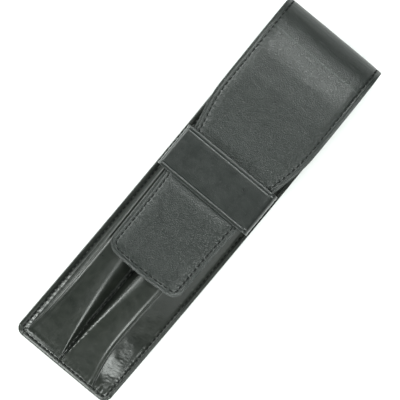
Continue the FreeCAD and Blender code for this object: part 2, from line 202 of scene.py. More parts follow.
def slab(name, top, bottom, material):
    """Closed sheet between two grids with the same rows and columns."""
    rows, cols = top.shape[:2]
    count = rows * cols
    verts = [top.reshape(-1, 3), bottom.reshape(-1, 3)]
    faces = [grid_faces(rows, cols), grid_faces(rows, cols, count, True)]
    left = np.arange(rows) * cols
    for edge, turn in ((left, False), (left + cols - 1, True)):
        wall = np.stack([edge[:-1], edge[1:], edge[1:] + count, edge[:-1] + count], axis=1)
        faces.append(wall[:, ::-1] if turn else wall)
    first = 2 * count
    for row, turn in ((0, False), (rows - 1, True)):
        pair = np.concatenate([top[row], bottom[row]])
        verts.append(pair)
        base = first + np.arange(cols - 1)
        cap = np.stack([base, base + cols, base + cols + 1, base + 1], axis=1)
        faces.append(cap if not turn else cap[:, ::-1])
        first += 2 * cols
    verts, faces = np.concatenate(verts), np.concatenate(faces)
    a, b, c, d = [verts[faces[:, corner]] for corner in range(4)]
    volume = (a * np.cross(b, c)).sum() + (a * np.cross(c, d)).sum()
    return mesh_object(name, verts, faces if volume > 0 else faces[:, ::-1], material)


# ---------------------------------------------------------------- materials

# Texture scales are per metre, so 1000 is about one feature in each millimetre.

def new_material(name):
    """Material with its node tree, its shader and the coordinates that its textures use."""
    material = bpy.data.materials.new(name)
    material.use_nodes = True
    tree = material.node_tree
    shader = tree.nodes["Principled BSDF"]
    coords = tree.nodes.new("ShaderNodeTexCoord")
    return material, tree, shader, coords.outputs["Object"]


def texture(tree, kind, place, **settings):
    """Texture node with its inputs or properties set by name."""
    node = tree.nodes.new(kind)
    tree.links.new(place, node.inputs["Vector"])
    for key, value in settings.items():
        if key in node.inputs:
            node.inputs[key].default_value = value
        else:
            setattr(node, key, value)
    return node


def ramp(tree, source, stops):
    """Colour ramp. Each stop is a position and a colour, which may be one grey value."""
    node = tree.nodes.new("ShaderNodeValToRGB")
    tree.links.new(source, node.inputs["Fac"])
    band = node.color_ramp
    while len(band.elements) < len(stops):
        band.elements.new(0.5)
    for element, (place, colour) in zip(band.elements, stops):
        element.position = place
        element.color = (*colour, 1.0) if len(colour) == 3 else (colour[0],) * 3 + (1.0,)
    return node.outputs["Color"]


def maths(tree, kind, a, b):
    """Sum or product of two values, each a number or a socket."""
    node = tree.nodes.new("ShaderNodeMath")
    node.operation = kind
    for slot_number, value in enumerate((a, b)):
        if isinstance(value, (int, float)):
            node.inputs[slot_number].default_value = value
        else:
            tree.links.new(value, node.inputs[slot_number])
    return node.outputs[0]


def leather(name, dark, light, grain, grain_depth, rough, wear=0.0):
    """Finished leather: pebbled grain, finer pores, slow changes of tone and gloss, paler worn ridges."""
    material, tree, shader, place = new_material(name)
    warp = texture(tree, "ShaderNodeTexNoise", place, Scale=900.0, Detail=2.0)
    mixed = tree.nodes.new("ShaderNodeMix")
    mixed.data_type = "VECTOR"
    mixed.inputs["Factor"].default_value = 0.00055
    tree.links.new(place, mixed.inputs["A"])
    tree.links.new(warp.outputs["Color"], mixed.inputs["B"])
    cells = texture(tree, "ShaderNodeTexVoronoi", mixed.outputs["Result"], Scale=1000.0 / grain,
                    feature="DISTANCE_TO_EDGE")
    pebble = ramp(tree, cells.outputs["Distance"], [(0.0, (0.0,)), (0.12, (0.6,)), (0.42, (1.0,))])
    pores = texture(tree, "ShaderNodeTexNoise", place, Scale=2600.0, Detail=3.0)
    slow = texture(tree, "ShaderNodeTexNoise", place, Scale=55.0, Detail=3.0, Roughness=0.6)
    middle = texture(tree, "ShaderNodeTexNoise", place, Scale=330.0, Detail=3.0, Roughness=0.55)
    tone = maths(tree, "ADD", maths(tree, "MULTIPLY", slow.outputs["Fac"], 0.55),
                 maths(tree, "MULTIPLY", middle.outputs["Fac"], 0.45))
    base = ramp(tree, tone, [(0.3, dark), (0.72, light)])
    if wear > 0:
        geometry = tree.nodes.new("ShaderNodeNewGeometry")
        edge = ramp(tree, geometry.outputs["Pointiness"], [(0.515, (0.0,)), (0.58, (wear,))])
        blend_node = tree.nodes.new("ShaderNodeMix")
        blend_node.data_type = "RGBA"
        tree.links.new(edge, blend_node.inputs["Factor"])
        tree.links.new(base, blend_node.inputs["A"])
        blend_node.inputs["B"].default_value = (*[min(1.0, c * 3.2 + 0.01) for c in light], 1.0)
        base = blend_node.outputs["Result"]
    tree.links.new(base, shader.inputs["Base Color"])
    gloss = ramp(tree, middle.outputs["Fac"], [(0.25, (rough[0],)), (0.75, (rough[1],))])
    tree.links.new(gloss, shader.inputs["Roughness"])
    height = maths(tree, "ADD", maths(tree, "MULTIPLY", pebble, 0.75),
                   maths(tree, "MULTIPLY", pores.outputs["Fac"], 0.35))
    height = maths(tree, "ADD", height, maths(tree, "MULTIPLY", middle.outputs["Fac"], 1.1))
    bump = tree.nodes.new("ShaderNodeBump")
    bump.inputs["Strength"].default_value = grain_depth
    bump.inputs["Distance"].default_value = 0.00006
    tree.links.new(height, bump.inputs["Height"])
    tree.links.new(bump.outputs["Normal"], shader.inputs["Normal"])
    shader.inputs["Specular IOR Level"].default_value = 0.5
    return material


def fibre(name, dark, light, scale, rough, depth, specular=0.4):
    """Thread, board and cloth: fibrous, matt, uneven."""
    material, tree, shader, place = new_material(name)
    strand = texture(tree, "ShaderNodeTexNoise", place, Scale=scale, Detail=4.0, Roughness=0.7)
    base = ramp(tree, strand.outputs["Fac"], [(0.3, dark), (0.7, light)])
    tree.links.new(base, shader.inputs["Base Color"])
    gloss = ramp(tree, strand.outputs["Fac"], [(0.3, (rough,)), (0.7, (min(1.0, rough + 0.15),))])
    tree.links.new(gloss, shader.inputs["Roughness"])
    bump = tree.nodes.new("ShaderNodeBump")
    bump.inputs["Strength"].default_value = depth
    bump.inputs["Distance"].default_value = 0.00008
    tree.links.new(strand.outputs["Fac"], bump.inputs["Height"])
    tree.links.new(bump.outputs["Normal"], shader.inputs["Normal"])
    shader.inputs["Specular IOR Level"].default_value = specular
    return material


CASE = leather("pebbled_black_leather", (0.0058, 0.0078, 0.0068), (0.0120, 0.0148, 0.0132),
               grain=0.7, grain_depth=1.0, rough=(0.29, 0.37), wear=0.4)
FRONT = leather("soft_black_leather", (0.0060, 0.0078, 0.0062), (0.0130, 0.0150, 0.0118),
                grain=0.5, grain_depth=0.3, rough=(0.27, 0.36), wear=0.3)
STRAP = leather("smooth_black_leather", (0.0070, 0.0088, 0.0080), (0.0130, 0.0155, 0.0142),
                grain=0.45, grain_depth=0.25, rough=(0.27, 0.35), wear=0.3)
LINING = leather("lining_leather", (0.014, 0.015, 0.014), (0.023, 0.024, 0.022),
                 grain=0.4, grain_depth=0.3, rough=(0.5, 0.65))
CHANNEL = fibre("channel_lining_cloth", (0.010, 0.011, 0.010), (0.022, 0.023, 0.021),
                scale=1800.0, rough=0.8, depth=0.6)
BOARD = fibre("grey_board", (0.10, 0.095, 0.085), (0.19, 0.18, 0.16), scale=900.0, rough=0.8, depth=0.5)
THREAD = fibre("black_waxed_thread", (0.004, 0.0045, 0.0045), (0.010, 0.011, 0.0105),
               scale=5000.0, rough=0.6, depth=0.7, specular=0.15)


# ---------------------------------------------------------------- outer strip: back, fold, flap

# Side profile of the outer surface as (y, z), from the closed end along the
# back, round the fold and over the front to the end of the tongue.
PROFILE = np.array([
    (LOW_Y, 0.0), (-40.0, 0.0), (0.0, 0.0), (40.0, 0.0), (62.0, 0.0), (FOLD_Y, 0.05), (75.2, 0.85),
    (79.3, 2.75), (81.7, 5.5), (82.5, 8.5), (81.3, 11.6), (78.8, 13.9), (75.2, 15.6), (71.6, 16.7),
    (67.5, 17.6), (63.2, 18.28), (58.5, 18.52), (52.0, 18.52), (44.0, 18.15), (34.0, 17.5), (24.0, 17.0),
    (12.0, 16.85), (0.0, 16.85), (-14.0, 16.7), (-26.0, 16.45), (-35.2, 16.15)])
# Distances from an end or an edge at which there is a row or column of points.
END_STEPS = [0, .02, .06, .12, .2, .3, .42, .56, .72, .9, 1.1, 1.32, 1.56, 1.8, 2.05, 2.3, 2.6, 2.95]
EDGE_STEPS = [0, .05, .12, .22, .36, .52, .7, .85, 1.0, 1.2, 1.45, 1.7, 1.95, 2.2, 2.45, 2.7, 3.0, 3.4,
              4.0, 4.8, 6.0]
MIDDLE_COLS = 25


def profile_rows():
    """Points and outward normals down the side profile, closer together at both ends."""
    chord = lengths_of(PROFILE)
    fine_at = np.linspace(0, chord[-1], 9000)
    fine = np.stack([curve(chord, PROFILE[:, 0], fine_at), curve(chord, PROFILE[:, 1], fine_at)], axis=1)
    run = lengths_of(fine)
    total = run[-1]
    middle = np.linspace(END_STEPS[-1], total - END_STEPS[-1], int(total / ROW_STEP))
    at = np.concatenate([END_STEPS[:-1], middle, total - np.array(END_STEPS[:-1])[::-1]])
    points = points_along(fine, run, at)
    ahead = unit_rows(points_along(np.gradient(fine, axis=0), run, at))
    # The strip runs +Y along the back with its outer face down.
    normals = np.stack([ahead[:, 1], -ahead[:, 0]], axis=1)
    return at, points, normals


S_AT, S_POINTS, S_NORMALS = profile_rows()
TURN = int(np.argmax(S_POINTS[:, 0]))


def slanting_row(rows, sense):
    """The row of the fold where the outer face points halfway between along and up (or down)."""
    off = np.abs(S_NORMALS[rows, 0] - sense * S_NORMALS[rows, 1])
    return int(np.argmin(off + (S_POINTS[rows, 0] < FOLD_Y + 2) * 9))


# The strip changes bodies at these rows.
BACK_ROW = int(np.searchsorted(S_POINTS[:TURN, 0], FOLD_Y))
LOW_ROW = slanting_row(slice(0, TURN), -1)
HIGH_ROW = TURN + slanting_row(slice(TURN, None), 1)
FLAP_ROW = TURN + int(np.searchsorted(-S_POINTS[TURN:, 0], -FOLD_Y))


def corner_loss(e, radius):
    """How far a rounded corner has drawn the side in, at a distance from the end."""
    inside = np.clip(radius - e, 0, radius)
    return radius - np.sqrt(np.maximum(radius ** 2 - inside ** 2, 0))


def half_widths(s_at):
    """Left and right half-widths of the outer strip along its length."""
    y = np.interp(s_at, S_AT, S_POINTS[:, 0])
    total = S_AT[-1]
    on_flap = s_at > S_AT[TURN]
    flap = curve([-29.5, -22, -10, 2, 12, 21, 26, 31, 37, 44],
                 [17.05, 17.1, 17.3, 17.8, 18.5, 19.5, 20.6, 21.7, 22.5, HALF_W], y)
    left = np.where(on_flap, flap - 0.1 * (y < 30), HALF_W)
    right = np.where(on_flap, flap + 0.2 * smoothstep((34 - y) / 20), HALF_W)
    left = left - corner_loss(s_at, CORNER_R) - corner_loss(total - s_at, TONGUE_CORNERS[0])
    right = right - corner_loss(s_at, CORNER_R) - corner_loss(total - s_at, TONGUE_CORNERS[1])
    return left, right


def spread(left, right):
    """Columns across the strip, closer together near both edges."""
    steps = np.array(EDGE_STEPS)
    middle = np.linspace(0, 1, MIDDLE_COLS + 2)[1:-1]
    cols_left = -left[:, None] + steps[None, :]
    cols_right = right[:, None] - steps[None, ::-1]
    low = -left + steps[-1]
    high = right - steps[-1]
    cols_mid = low[:, None] + (high - low)[:, None] * middle[None, :]
    return np.concatenate([cols_left, cols_mid, cols_right], axis=1)


S_LEFT, S_RIGHT = half_widths(S_AT)
S_X = spread(S_LEFT, S_RIGHT)
S_RUN = np.repeat(S_AT[:, None], S_X.shape[1], axis=1)
strip_plan = np.stack([S_X, S_RUN], axis=-1)


def strip_outline():
    """Edge of the strip laid out flat, up its left side, over the tongue and down its right side."""
    left = np.stack([-S_LEFT, S_AT], axis=1)
    right = np.stack([S_RIGHT, S_AT], axis=1)[::-1]
    ring = np.concatenate([left, right])
    ring = np.concatenate([ring, ring[:1]])
    return resample(ring, SEAM_STEP)


def strip_seam(inset):
    """Line at one distance inside the strip's edge."""
    return resample(inset_line(strip_outline(), -inset), SEAM_STEP)


S_EDGE, _ = nearest(strip_outline(), strip_plan)

# The flap's seam starts and ends on the underside of the fold.
flap_first = S_AT[LOW_ROW] + 1.0
flap_seam = strip_seam(FLAP_INSET)
flap_seam = flap_seam[flap_seam[:, 1] > flap_first]
flap_length = lengths_of(flap_seam)[-1]
flap_count = int(round(flap_length / FLAP_PITCH))
flap_pitch = flap_length / flap_count
S_GAP, S_ALONG = nearest(flap_seam, strip_plan)

# The back shows the underside of the same stitches as the front's margin.
back_seam = strip_seam(SIDE_INSET)


def between_holes(along, pitch):
    """0 at a seam's holes, 1 midway between them."""
    return 0.5 - 0.5 * np.cos(2 * math.pi * ((along / pitch) % 1.0))


def rolled(edge, radius):
    """Drop of a surface towards a rounded edge."""
    return np.where(edge < radius, -radius + np.sqrt(np.maximum(radius ** 2 - (radius - edge) ** 2, 0)), 0.0)


def seam_relief(gap, along, pitch, groove, hole):
    """Groove pressed by a seam, with a deeper hole at each end of a stitch."""
    phase = (along / pitch) % 1.0
    to_hole = np.minimum(phase, 1 - phase) * pitch
    relief = -groove * bell(gap, 0.45) * (0.3 + 0.7 * smoothstep(to_hole / 0.35))
    return relief - hole * bell(gap, 0.3) * bell(to_hole - 0.32, 0.2)


def pucker(edge, along, pitch, inset, reach, depth):
    """Leather swelling between the holes on the inner side of a seam."""
    return depth * between_holes(along, pitch) * bell(edge - inset - reach, reach * 0.8)


def strip_relief():
    """How far the outer face stands out of the plain profile."""
    d = S_EDGE
    out = rolled(d, 0.38)
    on_flap = smoothstep((S_RUN - S_AT[HIGH_ROW]) / 8.0)
    on_back = 1 - smoothstep((S_RUN - S_AT[BACK_ROW] + 4) / 6.0)
    # Crease beside the edge, and a bead between it and the seam.
    bead = 0.1 * bell(d - 1.6, 0.24) * smoothstep((S_RUN - S_AT[LOW_ROW]) / 6)
    out = out - 0.12 * bell(d - 0.95, 0.3) + bead
    sewn = smoothstep((S_RUN - S_AT[LOW_ROW] - 1.0) / 2.0)
    out = out + sewn * seam_relief(S_GAP, S_ALONG, flap_pitch, 0.18, 0.18)
    out = out - (1 - on_flap) * (1 - on_back) * 0.16 * bell(d - FLAP_INSET, 0.5)
    # Soft crown inside the seam, held down under the strap.
    y = np.interp(S_RUN, S_AT, S_POINTS[:, 0])
    held = 1 - 0.55 * smoothstep((y - (STRAP_Y[0] - 4)) / 4) * smoothstep((STRAP_Y[1] + 4 - y) / 4)
    puff = on_flap * 0.42 * smoothstep((d - FLAP_INSET - 0.15) / 2.6) * held
    out = out + puff + on_flap * pucker(d, S_ALONG, flap_pitch, FLAP_INSET, 0.6, 0.14)
    out = out - on_flap * 0.2 * (1 - smoothstep((d - FLAP_INSET + 0.7) / 0.8)) * smoothstep(d / 0.4)
    out = out + on_flap * 0.05 * waves(S_X, S_RUN, 26.0, 3) * smoothstep((d - 2) / 4)
    out = out + on_flap * 0.012 * waves(S_X, S_RUN, 3.2, 4) * smoothstep((d - 2) / 2)
    return out, on_back


S_RELIEF, S_ON_BACK = strip_relief()


def tongue_skew(x, run):
    """How far the tongue's end is drawn back towards its sides."""
    end = smoothstep((run - S_AT[-1] + 16) / 16)
    side = np.where(x > 0, 1.25, 0.5)
    return end * side * (x / 17.0) ** 2


def strip_layer(depth):
    """Grid at a depth below the outer surface."""
    grid = np.zeros(S_X.shape + (3,))
    grid[..., 0] = S_X
    grid[..., 1] = S_POINTS[:, 0][:, None] - S_NORMALS[:, 0][:, None] * depth
    grid[..., 2] = S_POINTS[:, 1][:, None] - S_NORMALS[:, 1][:, None] * depth
    grid[..., 1] += tongue_skew(S_X, S_RUN)
    return grid


def thin(rows_from, rows_to, step):
    """Row numbers between two rows, keeping both ends."""
    return list(range(rows_from, rows_to, step)) + [rows_to]


# Relief on the back only cuts inwards, so the case still stands on its plane.
back_gap, back_along = nearest(back_seam, strip_plan)
back_relief = seam_relief(back_gap, back_along, SEAM_PITCH, 0.22, 0.2) * S_ON_BACK
OUTER = strip_layer(-(S_RELIEF + back_relief))
# The leather and its lining meet here, with a groove along their edges. The lining steps
# down inside the margin to leave room for the board.
join = np.where(S_RUN < S_AT[TURN], BACK_LEATHER, LEATHER)
edge_tuck = 0.12 * (1 - smoothstep(S_EDGE / 0.35))
board_step = 0.55 * smoothstep((S_EDGE - 3.9) / 0.2)
OUTER_IN = strip_layer(join - edge_tuck)
LINE_OUT = strip_layer(join + 0.03 + edge_tuck + board_step)
# The lining is thinner round the fold and at the flap's edge.
in_fold = smoothstep((S_RUN - S_AT[BACK_ROW]) / 2) * smoothstep((S_AT[FLAP_ROW] - S_RUN) / 2)
flap_edge = (1 - smoothstep(S_EDGE / 0.4)) * smoothstep((S_RUN - S_AT[HIGH_ROW]) / 8)
LINE_IN = strip_layer(2 * join - 0.4 * in_fold - 0.2 * flap_edge)


def blend_between(obj, direction):
    """Bakes a piece's placement into its mesh."""
    direction = np.array(direction, float)
    direction /= np.linalg.norm(direction)
    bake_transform(obj)


def blend_span(obj, part):
    """Bakes the placement of a piece of one stretch of the fold into its mesh."""
    body_a, body_b, direction, row_a, row_b = {
        "fold_low": ("case", "fold_lower", (0, 1, 1), BACK_ROW, LOW_ROW),
        "fold_mid": ("fold_lower", "fold_upper", (0, 0, 1), LOW_ROW, HIGH_ROW),
        "fold_high": ("fold_upper", "flap", (0, -1, 1), HIGH_ROW, FLAP_ROW)}[part]
    blend_between(obj, direction)


def strip_pieces(prefix, top, bottom, material, fine, nodes):
    """Cuts one layer of the strip where its bodies change."""
    spans = [("back", 0, BACK_ROW), ("fold_low", BACK_ROW, LOW_ROW), ("fold_mid", LOW_ROW, HIGH_ROW),
             ("fold_high", HIGH_ROW, FLAP_ROW), ("flap", FLAP_ROW, len(S_AT) - 1)]
    made = {}
    for part, low, high in spans:
        rows = thin(low, high, 1 if fine or part.startswith("fold") else 3)
        # Wound so that the first grid faces out of the strip.
        made[part] = slab("%s_%s" % (prefix, part), top[rows][:, ::-1], bottom[rows][:, ::-1], material)
        if part in nodes:
            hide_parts(nodes[part])
    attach(made["back"], "case")
    for part in ("fold_low", "fold_mid", "fold_high"):
        blend_span(made[part], part)
    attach(made["flap"], "flap")


strip_pieces("outer", OUTER, OUTER_IN, CASE, True,
             {"back": "back_outer_leather", "fold_low": "fold_lower_leather",
              "fold_high": "fold_upper_leather", "flap": "flap_outer_leather"})
strip_pieces("lining", LINE_OUT, LINE_IN, LINING, False,
             {"back": "back_lining", "fold_low": "fold_lower_lining",
              "fold_high": "fold_upper_lining", "flap": "flap_lining"})

# The board lies between the leather and the lining's step.
BOARD_MARGIN_COLS = 19
board_rows = np.where((S_AT > S_AT[FLAP_ROW] + 3.0) & (S_AT < S_AT[-1] - 5.0))[0][::2]
board_cols = np.arange(BOARD_MARGIN_COLS, S_X.shape[1] - BOARD_MARGIN_COLS)[::-1]
board_top, board_bottom = [strip_layer(depth)[np.ix_(board_rows, board_cols)] for depth in (1.06, 1.5)]
flap_board = slab("flap_board", board_top, board_bottom, BOARD)
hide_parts("flap_stiffener")
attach(flap_board, "flap")


# ---------------------------------------------------------------- threads

def threads(name, spots, length, width, height, ride, node=None):
    """Short twisted threads, each dipping into a hole at both ends. spots are middles, directions and ups."""
    places, ahead, up = spots
    rings, sides = 9, 10
    u = np.linspace(-1, 1, rings)
    angle = np.linspace(0, 2 * math.pi, sides, endpoint=False)
    swell = np.sqrt(np.clip(1 - np.abs(u) ** 3.5, 0.02, 1))
    twist = 1 + 0.14 * np.cos(2 * (angle[None, :] - 2.6 * u[:, None]))
    across_local = (width / 2) * swell[:, None] * twist * np.cos(angle)[None, :]
    up_local = (height / 2) * swell[:, None] * twist * np.sin(angle)[None, :]
    up_local = up_local - 0.16 * (np.abs(u) ** 3)[:, None]
    ahead_local = np.repeat((u * length / 2)[:, None], sides, axis=1)
    across = np.cross(up, ahead)
    rng = np.random.default_rng(len(places))
    corner = np.arange((rings - 1) * sides)
    beside = corner - corner % sides + (corner + 1) % sides
    walls = np.stack([beside, beside + sides, corner + sides, corner], axis=1)
    ends = np.stack([np.arange(sides)[::-1], (rings - 1) * sides + np.arange(sides)])
    verts, wall_faces, end_faces = [], [], []
    for index in range(len(places)):
        forward = ahead[index] + across[index] * rng.normal(0, 0.05)
        body_points = (places[index] + ahead_local[..., None] * forward
                       + across_local[..., None] * across[index] + up_local[..., None] * up[index])
        verts.append(body_points.reshape(-1, 3))
        wall_faces += list(walls + index * rings * sides)
        end_faces += list(ends + index * rings * sides)
    obj = mesh_object(name, np.concatenate(verts), wall_faces + end_faces, THREAD)
    ride(obj)
    if node:
        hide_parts(node)


def stitches_along(path, count):
    """Middle and direction of each stitch along a line of 3-D points."""
    run = lengths_of(path)
    pitch = run[-1] / count
    mid = (np.arange(count) + 0.5) * pitch
    before, after = [points_along(path, run, mid + shift * pitch) for shift in (-0.35, 0.35)]
    return points_along(path, run, mid), unit_rows(after - before)


def upright(places, ahead):
    """Stitches of a flat seam, with their upper side up."""
    return places, ahead, np.tile([0.0, 0.0, 1.0], (len(places), 1))


def strip_point(plan, depth):
    """3-D places and outward normals of points of the strip laid out flat."""
    x, run = plan[:, 0], plan[:, 1]
    y, z = points_along(S_POINTS, S_AT, run).T
    ny, nz = points_along(S_NORMALS, S_AT, run).T
    normal = np.stack([np.zeros_like(ny), ny, nz], axis=1)
    return np.stack([x, y + tongue_skew(x, run), z], axis=1) - normal * depth, normal


def strip_threads(name, seam, count, depth, low, high, ride, node=None):
    """The stitches of a seam of the strip that lie between two distances up it."""
    run = lengths_of(seam)
    pitch = run[-1] / count
    mid = (np.arange(count) + 0.5) * pitch
    plan = points_along(seam, run, mid)
    place, up = strip_point(plan, depth)
    before, after = [strip_point(points_along(seam, run, mid + shift * pitch), depth)[0]
                     for shift in (-0.3, 0.3)]
    ahead = unit_rows(after - before)
    keep = (plan[:, 1] > low) & (plan[:, 1] < high)
    threads(name, (place[keep], ahead[keep], up[keep]), pitch * THREAD_SHARE, THREAD_WIDTH, THREAD_HEIGHT,
            ride, node)


def on_body(body):
    return lambda obj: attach(obj, body)


def on_span(part):
    return lambda obj: blend_span(obj, part)


FLAP_THREAD_DEPTH = 0.12
strip_threads("flap_threads", flap_seam, flap_count, FLAP_THREAD_DEPTH, S_AT[FLAP_ROW] + 0.9, S_AT[-1],
              on_body("flap"), "flap_stitching")
strip_threads("fold_high_threads", flap_seam, flap_count, FLAP_THREAD_DEPTH, S_AT[HIGH_ROW] + 0.9,
              S_AT[FLAP_ROW] - 0.5, on_span("fold_high"))
strip_threads("fold_mid_threads", flap_seam, flap_count, FLAP_THREAD_DEPTH, S_AT[LOW_ROW] + 2.0,
              S_AT[HIGH_ROW] - 0.9, on_span("fold_mid"))
back_count = int(round(lengths_of(back_seam)[-1] / SEAM_PITCH))
strip_threads("back_face_threads", back_seam, back_count, 0.3, -1.0, S_AT[BACK_ROW] - 1.2, on_body("case"))


# ---------------------------------------------------------------- pleated front

# Corner points of the front's section, counted from its left edge.
LEFT_FOLD, SHOULDER_1, SEAM_LEFT, SEAM_RIGHT, SHOULDER_2, RIGHT_FOLD = 4, 5, 6, 7, 8, 9


def front_rows():
    """Where the front's rows lie, closer together at the closed end."""
    corner = LOW_Y + np.array(END_STEPS)
    count = int((MOUTH_Y - corner[-1]) / FRONT_STEP)
    return np.concatenate([corner[:-1], np.linspace(corner[-1], MOUTH_Y, count)])


F_Y = front_rows()


def key_lines(y):
    """Corner points of the front's section at each row, as x, z and how far each is rounded."""
    run = np.maximum(0.0, y - RISE_Y)
    rise = 1 - np.exp(-(run / 23.0) ** 1.15)
    flat = 1 - smoothstep(run / 16.0)
    foot = smoothstep(run / 2.2)
    w = HALF_W - corner_loss(y - LOW_Y, CORNER_R)
    top = FRONT_Z + 0.35 + (FRONT_TOP - FRONT_Z - 0.35) * rise
    # The left pleat's fold already stands up at the closed end.
    edge_top = np.maximum(top, FRONT_Z + 1.35 * foot)
    wall_top = edge_top - 0.35 - 0.55 * smoothstep((run - 4) / 10.0)
    gusset = FRONT_Z + foot + 1.6 * rise * smoothstep((y + 62) / 25.0)
    ones = np.ones_like(y)
    left_fold = curve([-82.5, -80, -70, -44, 1, 48], [-18.7, -18.9, -18.35, -17.8, -18.5, -18.6], y)
    right_fold = curve([-82.5, -81, -66, -48, -34, 0, 48], [14.6, 14.2, 11.1, 10.7, 11.1, 11.4, 11.5], y)
    seam = curve([-82.5, -81, -70, -50, 48], [-1.8, -1.8, -2.35, -2.6, -2.6], y)
    spread_left = curve([-81, -35, 0, 48], [0.35, 4.9, 5.4, 5.4], y)
    spread_right = curve([-81, -35, 0, 48], [0.35, 3.6, 4.6, 4.8], y)
    seam_z = FRONT_Z + 0.5 * (1 - rise) ** 3 + 4.0 * rise * smoothstep(-y / 25.0)
    lower = 0.45 * flat * np.minimum(1, 3 * rise)
    side_left = np.minimum(20.45 * ones, w - 1.5)
    side_right = np.minimum(20.1 * ones, w - 1.5)
    gusset_x = np.minimum(-side_left + 1.3, left_fold - 0.35)
    gusset_z = np.minimum(gusset, wall_top - 0.08)
    flank_top = np.maximum(top - 1.1 - 0.1 * flat - lower, FRONT_Z + 0.1)
    corners = [
        (-w, FRONT_Z, 0),
        (-side_left, FRONT_Z, 0.25),
        (gusset_x, gusset_z, 0.3),
        (left_fold - 0.15, wall_top, 0.3),
        (left_fold, edge_top - 0.15, 0.2),
        (seam - spread_left, top, 2.0 * rise + 0.15),
        (seam - 0.55, seam_z, 0.5),
        (seam + 0.5, seam_z, 0.5),
        (seam + spread_right, top - lower, 2.2 * rise + 0.15),
        (right_fold, top - 0.12 - lower, 0.22),
        (right_fold + 0.3, flank_top, 0.35),
        (side_right, FRONT_Z + 0.15, 0.8),
        (w, FRONT_Z, 0)]
    x, z, reach = [np.stack([value * ones for value in column], axis=1) for column in zip(*corners)]
    return x, z, reach, rise


# How many columns each side of the section has. The two tops have theirs closer together at both
# ends, and the two margins have theirs spaced like MARGIN_STEPS.
SIDE_COUNTS = [15, 8, 10, 2, 34, 14, 4, 14, 30, 2, 24, 15]
TOPS = (LEFT_FOLD, SHOULDER_2)
MARGIN_STEPS = np.array([0, .05, .12, .22, .36, .52, .72, .95, 1.15, 1.35, 1.55, 1.75, 1.95, 2.2, 2.45])


def section_grid(y):
    """Rounded section at every row; also says which side of the section a column belongs to."""
    x, z, reach, rise = key_lines(y)
    points = np.stack([x, z], axis=-1)
    count = points.shape[1]
    step = np.diff(points, axis=1)
    length = np.linalg.norm(step, axis=2)
    unit = step / np.maximum(length, 1e-6)[..., None]
    cut = reach.copy()
    cut[:, 1:] = np.minimum(cut[:, 1:], 0.45 * length)
    cut[:, :-1] = np.minimum(cut[:, :-1], 0.45 * length)
    columns, label = [], []
    for side in range(count - 1):
        start = points[:, side] + unit[:, side] * cut[:, side, None]
        stop = points[:, side + 1] - unit[:, side] * cut[:, side + 1, None]
        share = np.linspace(0, 1, SIDE_COUNTS[side])
        if side in TOPS:
            share = 0.5 * share + 0.5 * (0.5 - 0.5 * np.cos(math.pi * share))
        if side == 0:
            share = MARGIN_STEPS / MARGIN_STEPS[-1]
        if side == count - 2:
            share = 1 - MARGIN_STEPS[::-1] / MARGIN_STEPS[-1]
        columns.append(start[:, None, :] + (stop - start)[:, None, :] * share[None, :, None])
        label += [(side, s) for s in share]
        if side < count - 2:
            corner = points[:, side + 1]
            following = corner + unit[:, side + 1] * cut[:, side + 1, None]
            shares = np.linspace(0, 1, 7)[1:-1]
            t = shares[None, :, None]
            columns.append((1 - t) ** 2 * stop[:, None] + 2 * t * (1 - t) * corner[:, None]
                           + t * t * following[:, None])
            label += [(side + 0.5, s) for s in shares]
    grid = np.concatenate(columns, axis=1)
    return grid, np.array(label), rise, points


F_GRID, F_LABEL, F_RISE, F_KEYS = section_grid(F_Y)
F_PLAN_X = F_GRID[..., 0]
F_ROW_Y = np.repeat(F_Y[:, None], F_PLAN_X.shape[1], axis=1)


def case_outline(top_y):
    """Left side, closed end and right side of the case, going round anticlockwise from the top left."""
    y = np.concatenate([np.linspace(top_y, -78.9, 500), LOW_Y + np.array(END_STEPS)[::-1]])
    y = np.sort(y)[::-1]
    w = HALF_W - corner_loss(y - LOW_Y, CORNER_R)
    left = np.stack([-w, y], axis=1)
    right = np.stack([w, y], axis=1)[::-1]
    return resample(np.concatenate([left, right]), MARGIN_STEP)


front_plan = np.stack([F_PLAN_X, F_ROW_Y], axis=-1)
F_EDGE, _ = nearest(case_outline(FOLD_Y + 4.0), front_plan)


def margin_seam(top_y):
    """Seam round the sides and the closed end."""
    bend = 2.0
    x, low = HALF_W - SIDE_INSET, LOW_Y + LOW_INSET
    turn = np.linspace(math.pi, 1.5 * math.pi, 12)
    left = np.stack([-x + bend + bend * np.cos(turn), low + bend + bend * np.sin(turn)], axis=1)
    right = left[::-1] * [-1, 1]
    return resample(np.concatenate([[(-x, top_y)], left, right, [(x, top_y)]]), MARGIN_STEP)


margin = margin_seam(MARGIN_SEAM_TOP_Y)
margin_run = lengths_of(margin)
margin_count = int(round(margin_run[-1] / SEAM_PITCH))
margin_pitch = margin_run[-1] / margin_count
F_GAP, F_ALONG = nearest(margin, front_plan)


